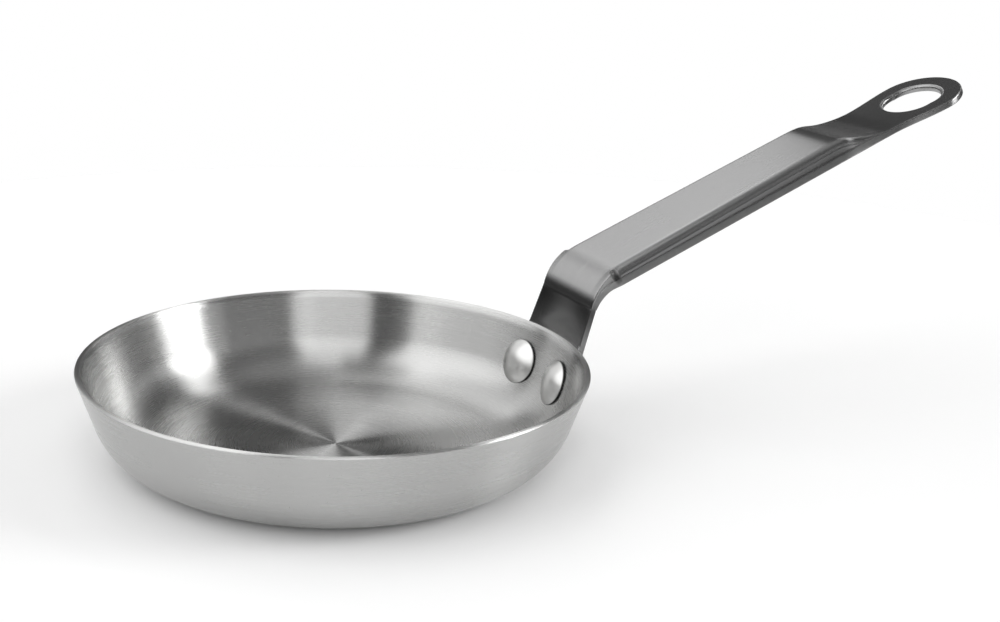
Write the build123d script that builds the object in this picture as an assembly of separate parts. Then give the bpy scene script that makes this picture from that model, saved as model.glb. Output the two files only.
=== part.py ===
from build123d import *
import os
from math import acos, asin, atan2, cos, degrees, hypot, radians, sin, tan

# Small omelette pan, 120 mm across the rim.
# Millimetres, +Z up, the handle runs along +X.
# The origin is the middle of the base's underside.

# Pan body, one spun sheet
RIM_DIAMETER = 120.0
PAN_HEIGHT = 22.4
WALL_RUN = 19.1
CORNER_RADIUS = 16.0
PAN_SHEET = 1.5
RIM_ROUNDING = 0.4

# Rivets
RIVET_SPREAD = 18.2
RIVET_DROP = 10.7
HEAD_DIAMETER = 11.6
HEAD_DOME = 1.7
HEAD_EDGE = 0.6
SHANK_DIAMETER = 5.0
TAIL_DIAMETER = 9.6
TAIL_DOME = 1.3
TAIL_EDGE = 0.5

# Handle, one pressed strip
STRIP_SHEET = 1.8
TANG_DROP = 18.8
TANG_WIDTH = 31.0
TANG_CORNER = 6.5
RIM_STRAP_WIDTH = 25.4
BEND_STRAP_WIDTH = 24.0
STRAP_ANGLE = 79.0
STRAP_RISE = 17.3
BEND_RADIUS = 14.0
UNDER_BEND_RADIUS = 9.0
PITCH_ANGLE = 22.75
CHANNEL_START = 5.0
CHANNEL_START_DEPTH = 4.7
CHANNEL_START_WIDTH = 23.4
CHANNEL_END_FROM_TIP = 47.1
CHANNEL_DRAFT = 8.0
CREASE_ROUNDING = 2.4
NECK_STEP_RADIUS = 6.0
NECK_STEP_FROM_TIP = 29.6
NECK_DEPTH = 6.4
NECK_WIDTH = 20.6
HANDLE_REACH = 126.6
EYE_DIAMETER = 24.0
HOLE_FROM_TIP = 14.2
HOLE_LENGTH = 16.4
HOLE_WIDTH = 14.0
HOLE_ROUNDING = 0.9

# Every cut runs this far past what it cuts
OVERRUN = 3.0
HALF_TURN = 180.0
RIGHT_ANGLE = 90.0

# Sizes that follow from the ones above
RIM_RADIUS = RIM_DIAMETER / 2
BASE_RADIUS = RIM_RADIUS - WALL_RUN
WALL_RISE = PAN_HEIGHT - CORNER_RADIUS
TANGENT_ANGLE = atan2(WALL_RISE, WALL_RUN) - acos(CORNER_RADIUS / hypot(WALL_RUN, WALL_RISE))
WALL_ANGLE = RIGHT_ANGLE + degrees(TANGENT_ANGLE)
WALL_SIN = sin(radians(WALL_ANGLE))
WALL_COS = cos(radians(WALL_ANGLE))
CHANNEL_END = HANDLE_REACH - CHANNEL_END_FROM_TIP
NECK_STEP_END = HANDLE_REACH - NECK_STEP_FROM_TIP


def wall_turn(shift):
    """Where the corner meets the straight wall, on a face shifted outwards."""
    radius = CORNER_RADIUS + shift
    return (BASE_RADIUS + radius * WALL_SIN, CORNER_RADIUS - radius * WALL_COS)


def wall_top(shift):
    """Where a shifted face of the wall meets the level of the rim."""
    return (RIM_RADIUS + shift / WALL_SIN, PAN_HEIGHT)


def corner_point(shift, angle):
    """A point of the corner's arc, by its slope in degrees."""
    radius = CORNER_RADIUS + shift
    slope = radians(angle)
    return (BASE_RADIUS + radius * sin(slope), CORNER_RADIUS - radius * cos(slope))


def pan_sheet_solid():
    """The spun body before it is drilled."""
    inner = -PAN_SHEET
    with BuildPart() as body:
        with BuildSketch(Plane.XZ):
            with BuildLine():
                Line((0, 0), (BASE_RADIUS, 0))
                ThreePointArc((BASE_RADIUS, 0), corner_point(0, WALL_ANGLE / 2), wall_turn(0))
                Line(wall_turn(0), wall_top(0))
                Line(wall_top(0), wall_top(inner))
                Line(wall_top(inner), wall_turn(inner))
                ThreePointArc(wall_turn(inner), corner_point(inner, WALL_ANGLE / 2),
                              (BASE_RADIUS, PAN_SHEET))
                Line((BASE_RADIUS, PAN_SHEET), (0, PAN_SHEET))
                Line((0, PAN_SHEET), (0, 0))
            make_face()
        revolve(axis=Axis.Z)
        fillet(body.edges().group_by(Axis.Z)[-1], RIM_ROUNDING)
    return body.part


def rivet_plane(side):
    """Seat of a rivet on the wall's outer face, its Z along the outward normal."""
    radius = RIM_RADIUS - RIVET_DROP * WALL_COS
    turn = side * asin(RIVET_SPREAD / 2 / radius)
    across = (-sin(turn), cos(turn), 0)
    normal = (WALL_SIN * cos(turn), WALL_SIN * sin(turn), -WALL_COS)
    seat = (radius * cos(turn), radius * sin(turn), PAN_HEIGHT - RIVET_DROP * WALL_SIN)
    return Plane(origin=seat, x_dir=across, z_dir=normal)


def button(diameter, edge, dome, foot):
    """A low domed button that stands on Z zero, with a foot below it."""
    radius = diameter / 2
    ball = (radius ** 2 + dome ** 2) / (2 * dome)
    half = asin(radius / ball) / 2
    crown = (ball * sin(half), edge + dome - ball + ball * cos(half))
    with BuildPart() as body:
        with BuildSketch(Plane.XZ):
            with BuildLine():
                Line((0, -foot), (radius, -foot))
                Line((radius, -foot), (radius, edge))
                ThreePointArc((radius, edge), crown, (0, edge + dome))
                Line((0, edge + dome), (0, -foot))
            make_face()
        revolve(axis=Axis.Z)
    return body.part


def shank(plane, radius):
    """The rivet's shank, from inside the head to inside the tail."""
    start = -PAN_SHEET - HEAD_EDGE
    length = HEAD_EDGE + PAN_SHEET + STRIP_SHEET + TAIL_EDGE
    rod = Cylinder(radius, length, align=(Align.CENTER, Align.CENTER, Align.MIN))
    return plane * Pos(0, 0, start) * rod


def rivet(side, body_sheet, strip):
    """One rivet: head against the inner wall, tail upset over the tang."""
    plane = rivet_plane(side)
    head = button(HEAD_DIAMETER, HEAD_EDGE, HEAD_DOME, PAN_SHEET / 2)
    tail = button(TAIL_DIAMETER, TAIL_EDGE, TAIL_DOME, STRIP_SHEET / 2)
    head = plane * Pos(0, 0, -PAN_SHEET) * Rot(HALF_TURN, 0, 0) * head
    tail = plane * Pos(0, 0, STRIP_SHEET) * tail
    head = head - body_sheet
    tail = tail - strip
    return head + tail + shank(plane, SHANK_DIAMETER / 2)


def tang_solid():
    """The flared foot of the strip, pressed to the outside of the wall."""
    straight = hypot(wall_top(0)[0] - wall_turn(0)[0], wall_top(0)[1] - wall_turn(0)[1])
    below = degrees((TANG_DROP - straight) / CORNER_RADIUS)
    low = WALL_ANGLE - below
    middle = WALL_ANGLE - below / 2
    outer = STRIP_SHEET
    sweep = degrees(asin(TANG_WIDTH / 2 / BASE_RADIUS)) + WALL_ANGLE / 2
    with BuildPart() as ring:
        with BuildSketch(Plane.XZ.rotated((0, 0, -sweep / 2))):
            with BuildLine():
                Line(wall_top(0), wall_turn(0))
                ThreePointArc(wall_turn(0), corner_point(0, middle), corner_point(0, low))
                Line(corner_point(0, low), corner_point(outer, low))
                ThreePointArc(corner_point(outer, low), corner_point(outer, middle),
                              wall_turn(outer))
                Line(wall_turn(outer), wall_top(outer))
                Line(wall_top(outer), wall_top(0))
            make_face()
        revolve(axis=Axis.Z, revolution_arc=sweep)
    floor = corner_point(outer, low)[1] - OVERRUN
    bottom = corner_point(0, low)[1]
    shoulder = PAN_HEIGHT - RIVET_DROP * WALL_SIN
    with BuildPart() as outline:
        with BuildSketch(Plane.YZ):
            with BuildLine():
                Polyline((-RIM_STRAP_WIDTH / 2, PAN_HEIGHT + OVERRUN),
                         (-RIM_STRAP_WIDTH / 2, PAN_HEIGHT),
                         (-TANG_WIDTH / 2, shoulder),
                         (-TANG_WIDTH / 2, bottom),
                         (TANG_WIDTH / 2, bottom),
                         (TANG_WIDTH / 2, shoulder),
                         (RIM_STRAP_WIDTH / 2, PAN_HEIGHT),
                         (RIM_STRAP_WIDTH / 2, PAN_HEIGHT + OVERRUN),
                         close=True)
            make_face()
        extrude(amount=RIM_RADIUS + STRIP_SHEET + OVERRUN)
        corners = outline.edges().filter_by(Axis.X).group_by(Axis.Z)[0]
        fillet(corners, TANG_CORNER)
    return ring.part & outline.part


# Frame of the straight channel: its corner lies where the strap's line meets the top
CORNER_X = RIM_RADIUS + STRAP_RISE * cos(radians(STRAP_ANGLE))
CORNER_Z = PAN_HEIGHT + STRAP_RISE * sin(radians(STRAP_ANGLE))
ALONG = (cos(radians(PITCH_ANGLE)), 0, sin(radians(PITCH_ANGLE)))
UPWARD = (-sin(radians(PITCH_ANGLE)), 0, cos(radians(PITCH_ANGLE)))
SIDE_VIEW = Plane(origin=(CORNER_X, 0, CORNER_Z), x_dir=ALONG, z_dir=(0, -1, 0))
TOP_VIEW = Plane(origin=(CORNER_X, 0, CORNER_Z), x_dir=ALONG, z_dir=UPWARD)
BEND_ANGLE = STRAP_ANGLE - PITCH_ANGLE
BEND_TANGENT = BEND_RADIUS * tan(radians(BEND_ANGLE / 2))
FLOOR_SLOPE = (NECK_DEPTH - CHANNEL_START_DEPTH) / (NECK_STEP_END - CHANNEL_START)
FLOOR_ANGLE = degrees(atan2(NECK_DEPTH - CHANNEL_START_DEPTH, NECK_STEP_END - CHANNEL_START))
FLOOR_UP = (sin(radians(FLOOR_ANGLE)), cos(radians(FLOOR_ANGLE)))


def floor_at(along, lift=0):
    """Height of the channel's lower edge, or of a face lifted square to it."""
    level = -CHANNEL_START_DEPTH - (along - CHANNEL_START) * FLOOR_SLOPE
    return level + lift / FLOOR_UP[1]


def on_strap(back, shift):
    """A point of the strap, seen from the side: back from the corner, shifted outwards."""
    angle = radians(BEND_ANGLE)
    return (shift * sin(angle) - back * cos(angle), -shift * cos(angle) - back * sin(angle))


def under_corner():
    """How far back along the strap's outer face the channel's lower edge meets it."""
    angle = radians(BEND_ANGLE)
    gap = on_strap(0, STRIP_SHEET)
    above = gap[1] - floor_at(gap[0])
    return above / (sin(angle) + FLOOR_SLOPE * cos(angle))


UNDER_TURN = BEND_ANGLE + FLOOR_ANGLE
UNDER_TANGENT = UNDER_BEND_RADIUS * tan(radians(UNDER_TURN / 2))
STRAP_END = max(BEND_TANGENT, under_corner() + UNDER_TANGENT)


def polar(center, radius, angle):
    """A point on a circle, in degrees."""
    return (center[0] + radius * cos(radians(angle)), center[1] + radius * sin(radians(angle)))


def bend_arc(shift):
    """The bend, from the strap to the top, on a face shifted outwards."""
    center = (BEND_TANGENT, -BEND_RADIUS)
    radius = BEND_RADIUS - shift
    start = RIGHT_ANGLE + BEND_ANGLE
    return [polar(center, radius, start - BEND_ANGLE * part) for part in (0, 1 / 2, 1)]


def step_centers():
    """Centers of the step's two arcs, and the radius of the second one."""
    first = (CHANNEL_END, -NECK_STEP_RADIUS)
    foot = (NECK_STEP_END, floor_at(NECK_STEP_END, STRIP_SHEET))
    reach = (foot[0] - first[0], foot[1] - first[1])
    rise = reach[0] * FLOOR_UP[0] + reach[1] * FLOOR_UP[1]
    spare = reach[0] ** 2 + reach[1] ** 2 - NECK_STEP_RADIUS ** 2
    radius = spare / (2 * (NECK_STEP_RADIUS - rise))
    last = (foot[0] + radius * FLOOR_UP[0], foot[1] + radius * FLOOR_UP[1])
    return first, last, radius


def step_arcs(shift):
    """The two arcs that let the top down to the neck, on a face shifted outwards."""
    first, last, radius = step_centers()
    meet = degrees(atan2(last[1] - first[1], last[0] - first[0]))
    turn = RIGHT_ANGLE - meet
    high = [polar(first, NECK_STEP_RADIUS - shift, RIGHT_ANGLE - turn * part)
            for part in (0, 1 / 2, 1)]
    back = turn - FLOOR_ANGLE
    low = [polar(last, radius + shift, -RIGHT_ANGLE - FLOOR_ANGLE - back * part)
           for part in (1, 1 / 2, 0)]
    return high, low


def side_profile():
    """Side view of the bend, channel, neck and eye, as one solid block."""
    bend = bend_arc(0)
    high, low = step_arcs(0)
    end = HANDLE_REACH + OVERRUN
    back = under_corner() + UNDER_TANGENT
    foot = on_strap(under_corner(), STRIP_SHEET)
    run = UNDER_TANGENT * FLOOR_UP[1]
    start = (foot[0] + run, floor_at(foot[0] + run))
    center = (start[0] - UNDER_BEND_RADIUS * FLOOR_UP[0], start[1] - UNDER_BEND_RADIUS * FLOOR_UP[1])
    middle = polar(center, UNDER_BEND_RADIUS, RIGHT_ANGLE - FLOOR_ANGLE + UNDER_TURN / 2)
    with BuildSketch(SIDE_VIEW) as sketch:
        with BuildLine():
            if STRAP_END > BEND_TANGENT:
                Line(on_strap(STRAP_END, 0), bend[0])
            ThreePointArc(*bend)
            Line(bend[2], high[0])
            ThreePointArc(*high)
            ThreePointArc(high[2], low[1], low[2])
            Line(low[2], (end, floor_at(end, STRIP_SHEET)))
            Line((end, floor_at(end, STRIP_SHEET)), (end, floor_at(end)))
            Line((end, floor_at(end)), start)
            ThreePointArc(start, middle, on_strap(back, STRIP_SHEET))
            if STRAP_END > back:
                Line(on_strap(back, STRIP_SHEET), on_strap(STRAP_END, STRIP_SHEET))
            Line(on_strap(STRAP_END, STRIP_SHEET), on_strap(STRAP_END, 0))
        make_face()
    return sketch.sketch


def hollow_profile():
    """Side view of what is hollow under the channel."""
    bend = bend_arc(STRIP_SHEET)
    high, low = step_arcs(STRIP_SHEET)
    below = floor_at(HANDLE_REACH) - OVERRUN
    start = on_strap(STRAP_END, STRIP_SHEET)
    with BuildSketch(SIDE_VIEW) as sketch:
        with BuildLine():
            Line(start, bend[0])
            ThreePointArc(*bend)
            Line(bend[2], high[0])
            ThreePointArc(*high)
            ThreePointArc(high[2], low[1], low[2])
            Line(low[2], (low[2][0], below))
            Line((low[2][0], below), (start[0], below))
            Line((start[0], below), start)
        make_face()
    return sketch.sketch


def top_outline(inset, level):
    """Outline of the strip at a level below the top, drawn in by the inset.
    From the channel's start to the tip its edges open downwards by the draft."""
    draft = tan(radians(CHANNEL_DRAFT))
    flare = level * draft
    plate = (level - NECK_DEPTH) * draft
    start = on_strap(STRAP_END, 0)[0] - OVERRUN
    eye = HANDLE_REACH - EYE_DIAMETER / 2
    points = [(start, BEND_STRAP_WIDTH / 2 - inset),
              (0, BEND_STRAP_WIDTH / 2 - inset),
              (CHANNEL_START, CHANNEL_START_WIDTH / 2 - inset + flare),
              (NECK_STEP_END, NECK_WIDTH / 2 - inset + plate)]
    waist = points[-1]
    wide = (eye, EYE_DIAMETER / 2 - inset + plate)
    tip = (HANDLE_REACH - inset + plate, 0)
    with BuildSketch(TOP_VIEW.offset(-level)) as sketch:
        with BuildLine():
            Polyline(*points)
            Spline(waist, wide, tangents=[(1, 0), (1, 0)])
            ThreePointArc(wide, tip, (wide[0], -wide[1]))
            Spline((wide[0], -wide[1]), (waist[0], -waist[1]), tangents=[(-1, 0), (-1, 0)])
            Polyline(*[(x, -y) for x, y in reversed(points)])
            Line((points[0][0], -points[0][1]), points[0])
        make_face()
    return sketch.sketch


def outline_block(inset):
    """All that lies inside the strip's outline, from over the top to under the strap."""
    lowest = STRAP_RISE
    return loft([top_outline(inset, 0), top_outline(inset, lowest)], ruled=True)


def channel_section(along, half):
    """Cross-section of the channel's outside, with both creases rounded."""
    origin = SIDE_VIEW.from_local_coords((along, 0, 0))
    flare = STRAP_RISE * tan(radians(CHANNEL_DRAFT))
    with BuildSketch(Plane(origin=origin, x_dir=(0, 1, 0), z_dir=ALONG)) as sketch:
        with BuildLine():
            Polyline((-half, 0), (half, 0), (half + flare, -STRAP_RISE),
                     (-half - flare, -STRAP_RISE), close=True)
        make_face()
        fillet(sketch.vertices().group_by(Axis.Z)[-1], CREASE_ROUNDING)
    return sketch.sketch


def channel_bar():
    """The space inside the channel's top and flanks, from its start to the neck."""
    waist = NECK_WIDTH / 2 - NECK_DEPTH * tan(radians(CHANNEL_DRAFT))
    start = channel_section(CHANNEL_START, CHANNEL_START_WIDTH / 2)
    return loft([start, channel_section(NECK_STEP_END, waist)], ruled=True)


def channel_slab():
    """Everything between the channel's start and the neck."""
    middle = (CHANNEL_START + NECK_STEP_END) / 2
    with BuildSketch(SIDE_VIEW) as sketch:
        with Locations((middle, 0)):
            Rectangle(NECK_STEP_END - CHANNEL_START, 2 * STRAP_RISE)
    return extrude(sketch.sketch, amount=EYE_DIAMETER + STRAP_RISE, both=True)


def channel_solid():
    """Bend, channel, neck and eye, hollow below and with both creases rounded."""
    view = extrude(side_profile(), amount=EYE_DIAMETER, both=True)
    block = (view & outline_block(0)) - channel_slab() + (view & channel_bar())
    hollow = extrude(hollow_profile(), amount=EYE_DIAMETER, both=True)
    return block - (hollow & outline_block(STRIP_SHEET))


def strap_section(back, width):
    """A flat section of the strap, square to it."""
    middle = on_strap(back, STRIP_SHEET / 2)
    origin = SIDE_VIEW.from_local_coords((middle[0], middle[1], 0))
    lean = radians(STRAP_ANGLE)
    plane = Plane(origin=origin, x_dir=(0, 1, 0), z_dir=(cos(lean), 0, sin(lean)))
    with BuildSketch(plane) as sketch:
        Rectangle(width, STRIP_SHEET)
    return sketch.sketch


def rim_section():
    """The curved section of the tang at the level of the rim."""
    half = RIM_STRAP_WIDTH / 2
    inner = wall_top(0)[0]
    outer = wall_top(STRIP_SHEET)[0]
    near = (inner ** 2 - half ** 2) ** 0.5
    far = (outer ** 2 - half ** 2) ** 0.5
    with BuildSketch(Plane.XY.offset(PAN_HEIGHT)) as sketch:
        with BuildLine():
            ThreePointArc((near, -half), (inner, 0), (near, half))
            Line((near, half), (far, half))
            ThreePointArc((far, half), (outer, 0), (far, -half))
            Line((far, -half), (near, -half))
        make_face()
    return sketch.sketch


def strap_solid():
    """The strap from the rim to the bend: curved at the rim, flat at the bend."""
    return loft([rim_section(), strap_section(STRAP_END, BEND_STRAP_WIDTH)])


def eye_cut(strip):
    """The hanging hole, with its upper edge rounded."""
    center = HANDLE_REACH - HOLE_FROM_TIP
    with BuildSketch(TOP_VIEW) as sketch:
        with Locations((center, 0)):
            SlotOverall(HOLE_LENGTH, HOLE_WIDTH)
    cut = strip - extrude(sketch.sketch, amount=floor_at(HANDLE_REACH) - OVERRUN)
    rim = []
    for edge in cut.edges():
        place = SIDE_VIEW.to_local_coords(edge.center())
        reach = HOLE_LENGTH / 2 + HOLE_ROUNDING
        above = place.Y - floor_at(place.X)
        if abs(place.X - center) < reach and abs(place.Z) < HOLE_WIDTH / 2 + HOLE_ROUNDING \
                and above > STRIP_SHEET / 2 + HOLE_ROUNDING / 2:
            rim.append(edge)
    return fillet(rim, HOLE_ROUNDING)


def drill(side):
    """The hole that a rivet's shank fills, through wall and tang."""
    return shank(rivet_plane(side), SHANK_DIAMETER / 2)


def main():
    os.makedirs("parts", exist_ok=True)
    body_sheet = pan_sheet_solid()
    strip = eye_cut(tang_solid() + strap_solid() + channel_solid())
    rivet_left = rivet(1, body_sheet, strip)
    rivet_right = rivet(-1, body_sheet, strip)
    holes = drill(1) + drill(-1)
    nodes = {
        "pan_body": body_sheet - holes,
        "handle": strip - holes,
        "rivet_left": rivet_left,
        "rivet_right": rivet_right,
    }
    for name, shape in nodes.items():
        solids = shape.solids()
        print(name, len(solids), "solid, valid", shape.is_valid, "volume", shape.volume)
        export_step(shape, "parts/" + name + ".step")


if __name__ == "__main__":
    main()
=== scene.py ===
import math

import bmesh
import bpy
import numpy as np
from bpy.props import FloatProperty, FloatVectorProperty, IntProperty, PointerProperty
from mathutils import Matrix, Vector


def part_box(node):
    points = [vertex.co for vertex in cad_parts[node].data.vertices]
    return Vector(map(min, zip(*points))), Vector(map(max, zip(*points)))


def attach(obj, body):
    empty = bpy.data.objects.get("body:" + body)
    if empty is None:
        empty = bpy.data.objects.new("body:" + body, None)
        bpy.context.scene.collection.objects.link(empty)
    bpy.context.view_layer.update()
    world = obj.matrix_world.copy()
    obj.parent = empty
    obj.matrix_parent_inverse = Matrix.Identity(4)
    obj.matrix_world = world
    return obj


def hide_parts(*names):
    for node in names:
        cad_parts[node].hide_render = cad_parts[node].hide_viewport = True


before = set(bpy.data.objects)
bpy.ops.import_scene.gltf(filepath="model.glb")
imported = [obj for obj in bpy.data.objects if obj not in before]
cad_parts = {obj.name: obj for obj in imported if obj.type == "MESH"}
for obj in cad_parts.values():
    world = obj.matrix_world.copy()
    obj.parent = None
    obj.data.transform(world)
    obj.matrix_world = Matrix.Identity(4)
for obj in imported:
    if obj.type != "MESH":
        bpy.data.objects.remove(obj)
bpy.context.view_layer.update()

bl_info = {
    "name": "Omelette pan",
    "version": (1, 0, 0),
    "blender": (4, 5, 0),
    "location": "View3D > Sidebar > Omelette pan",
    "description": "Turned steel pan body, pressed strip handle and two rivets",
    "category": "Object",
}

BODY_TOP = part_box("pan_body")[1].z
MM = 0.001
FINE = 1e-6
QUARTER = math.pi / 2


# Sizes and colours a user may change

class PanBodySizes(bpy.types.PropertyGroup):
    """The body, turned from one sheet."""
    rim_radius: FloatProperty(name="Rim radius", description="From the axis to the outer edge of the rim",
                              default=0.060, unit="LENGTH", subtype="DISTANCE")
    height: FloatProperty(name="Height", description="From the base to the rim",
                          default=BODY_TOP, unit="LENGTH", subtype="DISTANCE")
    wall_run: FloatProperty(name="Wall run", description="How far the rim stands out past the flat base",
                            default=0.0191, unit="LENGTH", subtype="DISTANCE")
    corner_radius: FloatProperty(name="Corner radius", description="Outer radius between base and wall",
                                 default=0.016, unit="LENGTH", subtype="DISTANCE")
    sheet: FloatProperty(name="Sheet", description="Thickness of the body's sheet",
                         default=0.0015, unit="LENGTH", subtype="DISTANCE")
    rim_rounding: FloatProperty(name="Rim rounding", description="Radius on both edges of the cut rim",
                                default=0.0004, unit="LENGTH", subtype="DISTANCE")
    steps_around: IntProperty(name="Steps around", description="Facets in one turn", default=320, min=24)


class HandleSizes(bpy.types.PropertyGroup):
    """The handle, pressed from one strip."""
    sheet: FloatProperty(name="Strip", description="Thickness of the strip", default=0.0018,
                         unit="LENGTH", subtype="DISTANCE")
    strap_angle: FloatProperty(name="Strap angle", description="Slope of the strap above the rim",
                               default=math.radians(79), unit="ROTATION", subtype="ANGLE")
    pitch: FloatProperty(name="Pitch", description="Slope of the channel",
                         default=math.radians(22.75), unit="ROTATION", subtype="ANGLE")
    strap_rise: FloatProperty(name="Strap rise",
                              description="From the rim to the corner of strap and channel",
                              default=0.0173, unit="LENGTH", subtype="DISTANCE")
    bend_radius: FloatProperty(name="Bend radius", description="Radius of the top of the bend",
                               default=0.014, unit="LENGTH", subtype="DISTANCE")
    reach: FloatProperty(name="Reach", description="From the bend's corner to the tip",
                         default=0.1266, unit="LENGTH", subtype="DISTANCE")
    crease_radius: FloatProperty(name="Crease radius", description="Radius of the folded edges",
                                 default=0.0024, unit="LENGTH", subtype="DISTANCE")
    edge_radius: FloatProperty(name="Edge radius", description="Radius of the deburred cut edges",
                               default=0.00035, unit="LENGTH", subtype="DISTANCE")
    hole_length: FloatProperty(name="Hole length", description="Hanging hole, along the handle",
                               default=0.0164, unit="LENGTH", subtype="DISTANCE")
    hole_width: FloatProperty(name="Hole width", description="Hanging hole, across the handle",
                              default=0.0140, unit="LENGTH", subtype="DISTANCE")


class RivetSizes(bpy.types.PropertyGroup):
    """The two rivets."""
    spread: FloatProperty(name="Spread", description="Between the two rivets' axes",
                          default=0.0182, unit="LENGTH", subtype="DISTANCE")
    drop: FloatProperty(name="Drop", description="Down the wall from the rim",
                        default=0.0107, unit="LENGTH", subtype="DISTANCE")
    head_diameter: FloatProperty(name="Head", description="Diameter of the head inside the pan",
                                 default=0.0116, unit="LENGTH", subtype="DISTANCE")
    tail_diameter: FloatProperty(name="Tail", description="Diameter of the formed tail outside",
                                 default=0.0096, unit="LENGTH", subtype="DISTANCE")
    steps_around: IntProperty(name="Steps around", description="Facets in one turn", default=72, min=12)


class SteelLook(bpy.types.PropertyGroup):
    """Colours of the steel."""
    body: FloatVectorProperty(name="Body", description="Brushed steel of the body", subtype="COLOR",
                              default=(0.50, 0.50, 0.495), min=0, max=1)
    handle: FloatVectorProperty(name="Handle", description="Pressed strip", subtype="COLOR",
                                default=(0.40, 0.40, 0.40), min=0, max=1)
    rivet: FloatVectorProperty(name="Rivets", description="Bright rivets", subtype="COLOR",
                               default=(0.70, 0.70, 0.69), min=0, max=1)


GROUPS = {"pan_body_sizes": PanBodySizes, "handle_sizes": HandleSizes, "rivet_sizes": RivetSizes,
          "steel_look": SteelLook}


# Small helpers

def link_object(name, mesh):
    piece = bpy.data.objects.new(name, mesh)
    bpy.context.scene.collection.objects.link(piece)
    return piece


def mesh_from(name, points, faces, edges=()):
    mesh = bpy.data.meshes.new(name)
    mesh.from_pydata([tuple(p) for p in points], list(edges), faces)
    mesh.update()
    return mesh


def arc_points(center, radius, start, end, steps):
    """Points on an arc in a plane, from one angle to another, both ends included."""
    angles = np.linspace(start, end, steps + 1)
    return [(center[0] + radius * math.cos(a), center[1] + radius * math.sin(a)) for a in angles]


def finish_piece(piece, nodes):
    """Every piece rides on the one rigid body."""
    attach(piece, "root")
    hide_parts(*nodes)


# Geometry nodes: a profile turned about an axis

def turned_tree():
    """A profile in the XZ plane, turned about Z, then moved to its seat."""
    tree = bpy.data.node_groups.new("Turned piece", "GeometryNodeTree")
    face = tree.interface
    face.new_socket(name="Profile", in_out="INPUT", socket_type="NodeSocketGeometry")
    steps = face.new_socket(name="Steps around", in_out="INPUT", socket_type="NodeSocketInt")
    steps.default_value = 64
    face.new_socket(name="Seat", in_out="INPUT", socket_type="NodeSocketVector")
    face.new_socket(name="Turn", in_out="INPUT", socket_type="NodeSocketVector")
    face.new_socket(name="Steel", in_out="INPUT", socket_type="NodeSocketMaterial")
    face.new_socket(name="Geometry", in_out="OUTPUT", socket_type="NodeSocketGeometry")
    new, link = tree.nodes.new, tree.links.new
    given, made = new("NodeGroupInput"), new("NodeGroupOutput")

    def math_node(kind, a, b):
        node = new("ShaderNodeMath")
        node.operation = kind
        for socket, value in zip(node.inputs, (a, b)):
            if isinstance(value, bpy.types.NodeSocket):
                link(value, socket)
            else:
                socket.default_value = value
        return node.outputs[0]

    count = new("GeometryNodeAttributeDomainSize")
    link(given.outputs["Profile"], count.inputs["Geometry"])
    rows = count.outputs["Point Count"]
    columns = math_node("ADD", given.outputs["Steps around"], 1)
    grid = new("GeometryNodeMeshGrid")
    link(columns, grid.inputs["Vertices X"])
    link(rows, grid.inputs["Vertices Y"])
    index = new("GeometryNodeInputIndex").outputs[0]
    column = math_node("FLOOR", math_node("DIVIDE", math_node("ADD", index, 0.5), rows), 0)
    row = math_node("SUBTRACT", index, math_node("MULTIPLY", column, rows))
    angle = math_node("MULTIPLY", math_node("DIVIDE", column, given.outputs["Steps around"]), math.tau)
    place = new("GeometryNodeInputPosition")
    sample = new("GeometryNodeSampleIndex")
    sample.data_type = "FLOAT_VECTOR"
    link(given.outputs["Profile"], sample.inputs["Geometry"])
    link(place.outputs[0], sample.inputs["Value"])
    link(row, sample.inputs["Index"])
    turn = new("ShaderNodeVectorRotate")
    turn.rotation_type = "Z_AXIS"
    link(sample.outputs[0], turn.inputs["Vector"])
    link(angle, turn.inputs["Angle"])
    move = new("GeometryNodeSetPosition")
    link(grid.outputs["Mesh"], move.inputs["Geometry"])
    link(turn.outputs[0], move.inputs["Position"])
    weld = new("GeometryNodeMergeByDistance")
    weld.inputs["Distance"].default_value = FINE
    link(move.outputs[0], weld.inputs["Geometry"])
    seat = new("GeometryNodeTransform")
    link(weld.outputs[0], seat.inputs["Geometry"])
    link(given.outputs["Seat"], seat.inputs["Translation"])
    link(given.outputs["Turn"], seat.inputs["Rotation"])
    smooth = new("GeometryNodeSetShadeSmooth")
    link(seat.outputs[0], smooth.inputs["Geometry"])
    real = new("GeometryNodeRealizeInstances")
    link(smooth.outputs[0], real.inputs["Geometry"])
    steel = new("GeometryNodeSetMaterial")
    link(real.outputs[0], steel.inputs["Geometry"])
    link(given.outputs["Steel"], steel.inputs["Material"])
    link(steel.outputs[0], made.inputs[0])
    return tree


def turned_piece(name, profile, values):
    """Runs the turning tree on a profile and keeps the result as a plain mesh."""
    tree = bpy.data.node_groups.get("Turned piece") or turned_tree()
    points = [(r, 0, z) for r, z in profile]
    edges = [(i, i + 1) for i in range(len(points) - 1)]
    source = link_object(name + "_profile", mesh_from(name + "_profile", points, [], edges))
    modifier = source.modifiers.new("Turning", "NODES")
    modifier.node_group = tree
    sockets = {item.name: item.identifier for item in tree.interface.items_tree if item.in_out == "INPUT"}
    for key, value in values.items():
        modifier[sockets[key]] = value
    bpy.context.view_layer.update()
    made = source.evaluated_get(bpy.context.evaluated_depsgraph_get())
    mesh = bpy.data.meshes.new_from_object(made)
    mesh.name = name
    source.modifiers.remove(modifier)
    bpy.data.objects.remove(source)
    if not mesh.polygons:
        raise RuntimeError(name + ": the turning tree made no faces")
    return link_object(name, mesh)


# The pan body

BASE_RINGS = 0.0, 0.0004, 0.004, 0.012, 0.022, 0.031, 0.037, 0.0395
CORNER_SUPPORT, RIM_SUPPORT = 0.0004, 0.00015
WALL_SHARES = 0.04, 0.2, 0.4, 0.6, 0.8
CORNER_STEPS, RIM_STEPS = 36, 8


def wall_angle(size):
    rise = size.height - size.corner_radius
    chord = math.hypot(size.wall_run, rise)
    return QUARTER + math.atan2(rise, size.wall_run) - math.acos(size.corner_radius / chord)


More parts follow.
